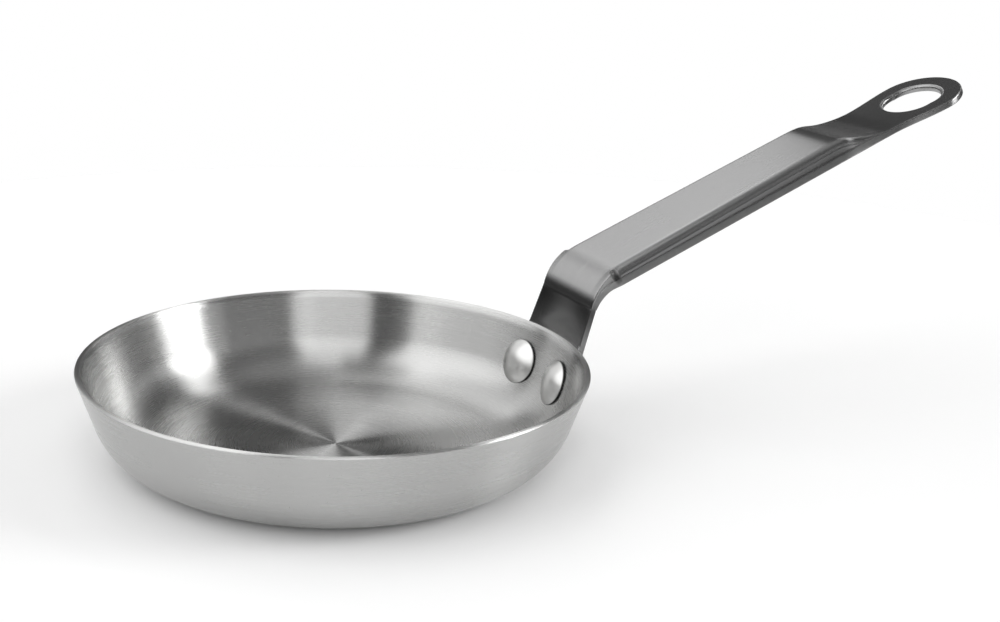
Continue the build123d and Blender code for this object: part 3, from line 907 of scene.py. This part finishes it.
class Wiring:
    """Short ways to join shader nodes."""

    def __init__(self, tree):
        self.tree = tree

    def join(self, value, socket):
        if isinstance(value, bpy.types.NodeSocket):
            self.tree.links.new(value, socket)
        else:
            socket.default_value = value

    def math(self, kind, *values):
        node = self.tree.nodes.new("ShaderNodeMath")
        node.operation = kind
        for socket, value in zip(node.inputs, values):
            self.join(value, socket)
        return node.outputs[0]

    def plus(self, a, b):
        return self.math("ADD", a, b)

    def minus(self, a, b):
        return self.math("SUBTRACT", a, b)

    def times(self, a, b):
        return self.math("MULTIPLY", a, b)

    def sum(self, base, *parts):
        """A base with each part added, times its share."""
        for part, share in parts:
            base = self.plus(base, self.times(part, share))
        return base

    def radius(self, x, y):
        return self.math("SQRT", self.plus(self.times(x, x), self.times(y, y)))

    def noise(self, vector, scale, detail, roughness=0.5):
        node = self.tree.nodes.new("ShaderNodeTexNoise")
        self.join(vector, node.inputs["Vector"])
        node.inputs["Scale"].default_value = scale
        node.inputs["Detail"].default_value = detail
        node.inputs["Roughness"].default_value = roughness
        return node.outputs["Fac"]

    def spread(self, value, low, high, to_low, to_high):
        node = self.tree.nodes.new("ShaderNodeMapRange")
        for socket, number in zip(node.inputs[:5], (value, low, high, to_low, to_high)):
            self.join(number, socket)
        return node.outputs[0]

    def smooth(self, value, low, high):
        """Eases from none at low to all at high, whichever is larger."""
        node = self.tree.nodes.new("ShaderNodeMapRange")
        node.interpolation_type = "SMOOTHSTEP"
        for socket, number in zip(node.inputs[:5], (value, min(low, high), max(low, high), 0.0, 1.0)):
            self.join(number, socket)
        return node.outputs[0] if low < high else self.minus(1.0, node.outputs[0])

    def vector(self, x, y, z):
        node = self.tree.nodes.new("ShaderNodeCombineXYZ")
        for socket, value in zip(node.inputs, (x, y, z)):
            self.join(value, socket)
        return node.outputs[0]

    def split(self, vector):
        node = self.tree.nodes.new("ShaderNodeSeparateXYZ")
        self.join(vector, node.inputs[0])
        return node.outputs


def brushed_group():
    """Fine grain drawn out along the brushing: a tone, a roughness shift and a height."""
    group, given, made = new_group(
        "Brushed grain",
        [("Grain place", "NodeSocketVector", None), ("Tone", "NodeSocketFloat", 0.06),
         ("Rough", "NodeSocketFloat", 0.05)],
        [("Tone", "NodeSocketFloat"), ("Rough", "NodeSocketFloat"), ("Height", "NodeSocketFloat")])
    w = Wiring(group)
    place = given.outputs["Grain place"]
    fine = w.noise(place, 1.0, 3.0, 0.6)
    broad = w.noise(place, 0.12, 2.0, 0.5)
    both = w.plus(w.times(fine, 0.6), w.times(broad, 0.4))
    centred = w.minus(both, 0.5)
    tone = w.plus(1.0, w.times(centred, given.outputs["Tone"]))
    rough = w.times(centred, given.outputs["Rough"])
    w.join(tone, made.inputs["Tone"])
    w.join(rough, made.inputs["Rough"])
    w.join(w.noise(place, 0.5, 1.0, 0.5), made.inputs["Height"])
    return group


def wear_group():
    """Faint handling marks: a few hair scratches and a soft cloudiness."""
    group, given, made = new_group(
        "Fine wear",
        [("Place", "NodeSocketVector", None), ("Amount", "NodeSocketFloat", 1.0)],
        [("Tone", "NodeSocketFloat"), ("Rough", "NodeSocketFloat")])
    w = Wiring(group)
    place = given.outputs["Place"]
    cloud = w.noise(place, 55.0, 3.0, 0.55)
    lines = 0.0
    for turn in HAIR_TURNS:
        lay = group.nodes.new("ShaderNodeMapping")
        lay.inputs["Rotation"].default_value = turn
        lay.inputs["Scale"].default_value = HAIR_SCALE
        w.join(place, lay.inputs["Vector"])
        hair = w.spread(w.noise(lay.outputs[0], 1.0, 1.0), *HAIR_LIMITS, 0.0, 1.0)
        lines = w.math("MAXIMUM", hair, lines)
    scratch = w.times(lines, given.outputs["Amount"])
    cloudy = w.times(w.minus(cloud, 0.5), given.outputs["Amount"])
    tone = w.plus(1.0, w.plus(w.times(scratch, 0.05), w.times(cloudy, 0.05)))
    rough = w.plus(w.times(cloudy, 0.06), w.times(scratch, 0.02))
    w.join(tone, made.inputs["Tone"])
    w.join(rough, made.inputs["Rough"])
    return group


def group_node(tree, name, builder):
    node = tree.nodes.new("ShaderNodeGroup")
    node.node_tree = bpy.data.node_groups.get(name) or builder()
    return node


def steel_material(name, color, grain, tangent, zones, roughness, anisotropy, tone, rough, height):
    """Brushed steel: true anisotropy, with its grain also in tone, roughness and height.
    Zones give a tone and a roughness of their own to parts of the surface. The height is in millimetres."""
    material = bpy.data.materials.new(name)
    material.use_nodes = True
    tree = material.node_tree
    shader = tree.nodes["Principled BSDF"]
    w = Wiring(tree)
    shader.inputs["Metallic"].default_value = 1.0
    shader.inputs["Anisotropic"].default_value = anisotropy
    shader.inputs["Anisotropic Rotation"].default_value = 0.25 if anisotropy else 0.0
    brushed = group_node(tree, "Brushed grain", brushed_group)
    wear = group_node(tree, "Fine wear", wear_group)
    place = tree.nodes.new("ShaderNodeTexCoord").outputs["Object"]
    w.join(grain(w, place), brushed.inputs["Grain place"])
    brushed.inputs["Tone"].default_value = tone
    brushed.inputs["Rough"].default_value = rough
    w.join(place, wear.inputs["Place"])
    shade = w.times(brushed.outputs["Tone"], wear.outputs["Tone"])
    zone_tone, zone_rough = zones(w, place)
    shade = w.times(shade, zone_tone)
    roughness = w.plus(zone_rough, roughness)
    scale = tree.nodes.new("ShaderNodeVectorMath")
    scale.operation = "SCALE"
    scale.inputs[0].default_value = tuple(color)
    w.join(shade, scale.inputs["Scale"])
    w.join(scale.outputs[0], shader.inputs["Base Color"])
    total = w.plus(w.plus(brushed.outputs["Rough"], wear.outputs["Rough"]), roughness)
    w.join(total, shader.inputs["Roughness"])
    bump = tree.nodes.new("ShaderNodeBump")
    bump.inputs["Strength"].default_value = 1.0
    bump.inputs["Distance"].default_value = height * MM
    w.join(brushed.outputs["Height"], bump.inputs["Height"])
    w.join(bump.outputs[0], shader.inputs["Normal"])
    if tangent is not None:
        w.join(tangent(w, place), shader.inputs["Tangent"])
    return material


def ring_grain(w, place):
    """Grain that runs in rings round the pan's axis, on floor and wall alike."""
    x, y, z = w.split(place)
    along = w.plus(w.radius(x, y), z)
    return w.vector(w.times(along, RING_LINES), w.times(x, RING_DRIFT), w.times(y, RING_DRIFT))


def ring_tangent(w, place):
    x, y, _ = w.split(place)
    return w.vector(w.times(y, -1.0), x, 0.0)


def on_strip(w):
    """Place along and across the flat strip."""
    flat = w.tree.nodes.new("ShaderNodeUVMap")
    flat.uv_map = FLAT_MAP
    return w.split(flat.outputs[0])[:2]


def strip_grain(w, place):
    """Grain that runs along the strip."""
    u, v = on_strip(w)
    return w.vector(w.times(u, STRIP_DRIFT), w.times(v, STRIP_LINES), 0.0)


def body_zones(w, place):
    """The cut rim is coarser than the turned sheet, and painted lighter: a painted highlight along the rim.
    """
    _, _, z = w.split(place)
    rim = w.smooth(z, *CUT_RIM)
    return w.plus(1.0, w.times(rim, 0.5)), w.times(rim, 0.14)


def rivet_zones(size, body):
    """Painted shade darkens the crevice all round a head's foot, and makes it rougher."""
    seat, turn = rivet_seat(size, body, 1)
    out = (math.sin(turn[1]) * math.cos(turn[2]), math.sin(turn[1]) * math.sin(turn[2]),
           math.cos(turn[1]))
    inner_face = sum(part * place for part, place in zip(out, seat)) - body.sheet

    def zones(w, place):
        x, y, z = w.split(place)
        reach = w.plus(w.times(x, out[0]), w.times(w.math("ABSOLUTE", y), out[1]))
        reach = w.plus(reach, w.times(z, out[2]))
        height = w.minus(inner_face, reach)
        # Painted shade: the ring at the head's foot is darkened in colour
        crevice_shade = w.times(w.smooth(height, *CREVICE_SHADE_TOP), w.smooth(height, *CREVICE_SHADE_FOOT))
        return w.minus(1.0, w.times(crevice_shade, 0.93)), w.times(crevice_shade, 0.25)
    return zones


def strip_zones(strip):
    """The channel's top is brushed and lighter, the bend, neck and eye are darker, painted shade darkens the
    strap and the folded flank, with painted light just beside the rim, painted shade darkens the dart, and
    the sheared edge is coarse."""
    turned = strip.turn - math.asin((strip.tangent - strip.START) / strip.bend)
    dart_at = (strip.rise - strip.tangent + strip.bend * turned) * MM

    def zones(w, place):
        u, v = on_strip(w)
        across = w.math("ABSOLUTE", v)
        brushed = w.times(w.times(w.smooth(u, *BRUSHED_START), w.smooth(u, *BRUSHED_END)),
                          w.smooth(across, *BRUSHED_SIDE))
        mark = w.tree.nodes.new("ShaderNodeAttribute")
        mark.attribute_name = SHEARED_MARK
        sheared = mark.outputs["Fac"]
        # Painted shade: the folded flank is darkened in colour, all but its sheared edge
        flank = w.times(w.smooth(across, *FLANK), w.minus(1.0, sheared))
        neck = w.times(w.smooth(u, *NECK_START), w.smooth(u, *NECK_END))
        # Painted shade: the dart is darkened in colour, and made rougher
        near_dart = w.times(w.smooth(u, *(dart_at + a for a in DART_START)),
                            w.smooth(u, *(dart_at + a for a in DART_END)))
        in_dart = w.times(near_dart, w.times(w.smooth(across, *DART_INNER), w.smooth(across, *DART_OUTER)))
        mottle = w.noise(place, 900.0, 2.0, 0.6)
        edge = w.plus(-0.12, w.times(mottle, 0.25))
        # The strap's tone is painted shade, lighter just beside the rim as painted light; the neck is set
        # darker and the eye lighter
        tone = w.sum(0.80, (brushed, 0.30), (w.smooth(u, *STRAP), -0.44), (w.smooth(u, *BESIDE_RIM), 0.55),
                     (flank, -0.26), (neck, -0.08), (w.smooth(u, *EYE), 0.10), (in_dart, -0.36),
                     (sheared, edge))
        return tone, w.sum(0.0, (sheared, 0.16), (brushed, 0.02), (in_dart, 0.30))
    return zones


def strip_tangent(w, place):
    node = w.tree.nodes.new("ShaderNodeTangent")
    node.direction_type = "UV_MAP"
    node.uv_map = FLAT_MAP
    return node.outputs[0]


def even_grain(w, place):
    node = w.tree.nodes.new("ShaderNodeVectorMath")
    node.operation = "SCALE"
    w.join(place, node.inputs[0])
    node.inputs["Scale"].default_value = EVEN_GRAIN
    return node.outputs[0]


# Stage

CAMERA_PLACE = (-0.130088, -0.318770, 0.140556)
CAMERA_TURN = (73.0549, -2.4448, -27.7658)
CAMERA_LENS = 55.26
SENSOR_WIDTH = 36.0
FLOOR_PLACE, FLOOR_RADIUS = (0.03, -0.02, -0.00005), 0.34
FLOOR_PAPER = (0.81, 0.81, 0.81, 1)
FLOOR_GLOW = 0.22
# The floor's glow fades out towards the pan, a painted shadow under and around it
GLOW_FADE = 0.036, 0.072


def set_camera():
    lens = bpy.data.cameras.new("Camera")
    lens.sensor_fit = "HORIZONTAL"
    lens.sensor_width = SENSOR_WIDTH
    lens.lens = CAMERA_LENS
    lens.clip_start, lens.clip_end = 0.01, 20.0
    camera = bpy.data.objects.new("Camera", lens)
    bpy.context.scene.collection.objects.link(camera)
    camera.location = CAMERA_PLACE
    camera.rotation_euler = [math.radians(a) for a in CAMERA_TURN]
    bpy.context.scene.camera = camera


def seen_by(w, *rays):
    """One where a ray of the named kinds meets the surface."""
    path = w.tree.nodes.new("ShaderNodeLightPath")
    seen = 0.0
    for ray in rays:
        seen = w.math("MAXIMUM", path.outputs["Is " + ray + " Ray"], seen)
    return seen


def set_floor():
    bpy.ops.mesh.primitive_circle_add(vertices=96, radius=FLOOR_RADIUS, fill_type="NGON",
                                      location=FLOOR_PLACE)
    floor = bpy.context.object
    floor.name = "floor"
    paint = bpy.data.materials.new("Floor paper")
    paint.use_nodes = True
    tree = paint.node_tree
    shader = tree.nodes["Principled BSDF"]
    shader.inputs["Base Color"].default_value = FLOOR_PAPER
    shader.inputs["Roughness"].default_value = 0.9
    shader.inputs["Specular IOR Level"].default_value = 0.1
    w = Wiring(tree)
    glow = tree.nodes.new("ShaderNodeEmission")
    x, y, _ = w.split(tree.nodes.new("ShaderNodeNewGeometry").outputs["Position"])
    # Painted shadow: the glow is taken away near the pan
    glow_with_painted_shadow = w.times(w.smooth(w.radius(x, y), *GLOW_FADE), FLOOR_GLOW)
    w.join(w.times(seen_by(w, "Camera", "Transmission", "Glossy"), glow_with_painted_shadow), glow.inputs["Strength"])
    both = tree.nodes.new("ShaderNodeAddShader")
    w.join(shader.outputs[0], both.inputs[0])
    w.join(glow.outputs[0], both.inputs[1])
    w.join(both.outputs[0], tree.nodes["Material Output"].inputs["Surface"])
    floor.data.materials.append(paint)


# Name, first and last azimuth, first and last height above the table in degrees, strength
SOFTBOXES = (
    ("Right strip box", 322.0, 346.1, 12.9, 36.7, 7.73),
    ("Right fill", 260.0, 360.0, 22.0, 31.1, 0.90),
    ("Window beside the camera", 229.8, 272.0, 15.5, 60.1, 1.63),
    ("Left window", 131.0, 207.8, 16.4, 70.0, 1.67),
    ("Back left wall", 99.4, 125.6, 5.0, 70.0, 0.89),
    ("Back window", 67.2, 97.8, 32.8, 65.0, 1.59),
    ("Back right wall", -52.1, 40.7, 15.9, 22.9, 1.32),
    ("Back right spot", -18.0, 48.0, 47.6, 53.6, 2.21),
    ("Ceiling", 0.0, 360.0, 61.1, 81.6, 0.32),
    ("High front", 239.4, 297.0, 70.3, 90.0, 1.38),
)
ROOM_LIGHT = 0.10
BOX_SOFTNESS = 5.0


def softbox_group():
    """Light from one soft-edged box, given by its azimuth and height."""
    names = ("Azimuth", "Height", "Middle azimuth", "Half width", "Middle height", "Half height", "Softness",
             "Strength")
    group, given, made = new_group("Softbox", [(n, "NodeSocketFloat", 0.0) for n in names],
                                   [("Light", "NodeSocketFloat")])
    w = Wiring(group)

    def window(distance, half):
        edge = w.times(given.outputs["Softness"], 0.5)
        node = group.nodes.new("ShaderNodeMapRange")
        node.interpolation_type = "SMOOTHSTEP"
        ends = (w.plus(half, edge), w.minus(half, edge))
        for socket, value in zip(node.inputs[:5], (distance, *ends, 0.0, 1.0)):
            w.join(value, socket)
        return node.outputs[0]

    turn = w.minus(given.outputs["Azimuth"], given.outputs["Middle azimuth"])
    across = w.math("ABSOLUTE", w.math("WRAP", turn, 180.0, -180.0))
    up = w.math("ABSOLUTE", w.minus(given.outputs["Height"], given.outputs["Middle height"]))
    inside = w.times(window(across, given.outputs["Half width"]), window(up, given.outputs["Half height"]))
    w.join(w.times(inside, given.outputs["Strength"]), made.inputs["Light"])
    return group


def set_world():
    """Soft boxes round the table, and plain white where the camera sees past the paper."""
    world = bpy.data.worlds.new("Studio")
    bpy.context.scene.world = world
    world.use_nodes = True
    tree = world.node_tree
    ground = tree.nodes["Background"]
    ground.inputs["Color"].default_value = (1, 1, 1, 1)
    w = Wiring(tree)
    x, y, z = w.split(tree.nodes.new("ShaderNodeTexCoord").outputs["Generated"])
    azimuth = w.math("DEGREES", w.math("ARCTAN2", y, x))
    height = w.math("DEGREES", w.math("ARCSINE", z))
    light = ROOM_LIGHT
    for name, left, right, low, high, strength in SOFTBOXES:
        box = group_node(tree, "Softbox", softbox_group)
        box.label = name
        values = (azimuth, height, (left + right) / 2, (right - left) / 2, (low + high) / 2, (high - low) / 2,
                  BOX_SOFTNESS, strength)
        for socket, value in zip(box.inputs, values):
            w.join(value, socket)
        light = w.plus(light, box.outputs["Light"])
    seen = seen_by(w, "Camera", "Transmission")
    mix = w.plus(w.times(light, w.minus(1.0, seen)), seen)
    w.join(mix, ground.inputs["Strength"])


# Operators

class PAN_OT_body(bpy.types.Operator):
    """Turns the pan body from its profile"""
    bl_idname = "pan.make_body"
    bl_label = "Pan body"

    def execute(self, context):
        scene = context.scene
        size = scene.pan_body_sizes
        steel = steel_material("Turned steel", scene.steel_look.body, ring_grain, ring_tangent, body_zones,
                               roughness=0.27, anisotropy=1.0, tone=0.15, rough=0.08, height=0.012)
        values = {"Steps around": size.steps_around, "Steel": steel}
        piece = turned_piece("pan_sheet", body_profile(size), values)
        finish_piece(piece, ["pan_body"])
        return {"FINISHED"}


class PAN_OT_handle(bpy.types.Operator):
    """Presses the handle from its strip"""
    bl_idname = "pan.make_handle"
    bl_label = "Handle"

    def execute(self, context):
        scene = context.scene
        strip = Strip(scene.handle_sizes, scene.pan_body_sizes)
        steel = steel_material("Strip steel", scene.steel_look.handle, strip_grain, strip_tangent,
                               strip_zones(strip),
                               roughness=0.24, anisotropy=1.0, tone=0.16, rough=0.08, height=0.002)
        piece = link_object("handle_strip", handle_mesh(scene.handle_sizes, scene.pan_body_sizes))
        piece.data.materials.append(steel)
        finish_piece(piece, ["handle"])
        return {"FINISHED"}


class PAN_OT_rivets(bpy.types.Operator):
    """Sets the two rivets"""
    bl_idname = "pan.make_rivets"
    bl_label = "Rivets"

    def execute(self, context):
        scene = context.scene
        size, body, strip = scene.rivet_sizes, scene.pan_body_sizes, scene.handle_sizes
        steel = steel_material("Rivet steel", scene.steel_look.rivet, even_grain, None,
                               rivet_zones(size, body),
                               roughness=0.33, anisotropy=0.0, tone=0.05, rough=0.06, height=0.002)
        profile = rivet_profile(size, body, strip)
        for name, side in (("left", 1), ("right", -1)):
            seat, turn = rivet_seat(size, body, side)
            values = {"Steps around": size.steps_around, "Seat": seat, "Turn": turn, "Steel": steel}
            piece = turned_piece("rivet_" + name + "_set", profile, values)
            finish_piece(piece, ["rivet_" + name])
        return {"FINISHED"}


class PAN_OT_stage(bpy.types.Operator):
    """Lays the floor and sets the world and the camera"""
    bl_idname = "pan.make_stage"
    bl_label = "Stage"

    def execute(self, context):
        set_floor()
        set_world()
        set_camera()
        context.scene.view_settings.view_transform = "Standard"
        return {"FINISHED"}


class PAN_PT_panel(bpy.types.Panel):
    """Lists the pieces"""
    bl_idname = "PAN_PT_panel"
    bl_label = "Omelette pan"
    bl_space_type = "VIEW_3D"
    bl_region_type = "UI"
    bl_category = "Omelette pan"

    def draw(self, context):
        for operator in OPERATORS:
            self.layout.operator(operator.bl_idname)
        for name, group in GROUPS.items():
            box = self.layout.box()
            for key in group.__annotations__:
                box.prop(getattr(context.scene, name), key)


OPERATORS = (PAN_OT_body, PAN_OT_handle, PAN_OT_rivets, PAN_OT_stage)


def register():
    for name, group in GROUPS.items():
        bpy.utils.register_class(group)
        setattr(bpy.types.Scene, name, PointerProperty(type=group))
    for part in OPERATORS + (PAN_PT_panel,):
        bpy.utils.register_class(part)


def unregister():
    for part in reversed(OPERATORS + (PAN_PT_panel,)):
        bpy.utils.unregister_class(part)
    for name, group in GROUPS.items():
        delattr(bpy.types.Scene, name)
        bpy.utils.unregister_class(group)


def main():
    register()
    for operator in ("make_body", "make_handle", "make_rivets", "make_stage"):
        getattr(bpy.ops.pan, operator)()


if __name__ == "__main__":
    main()
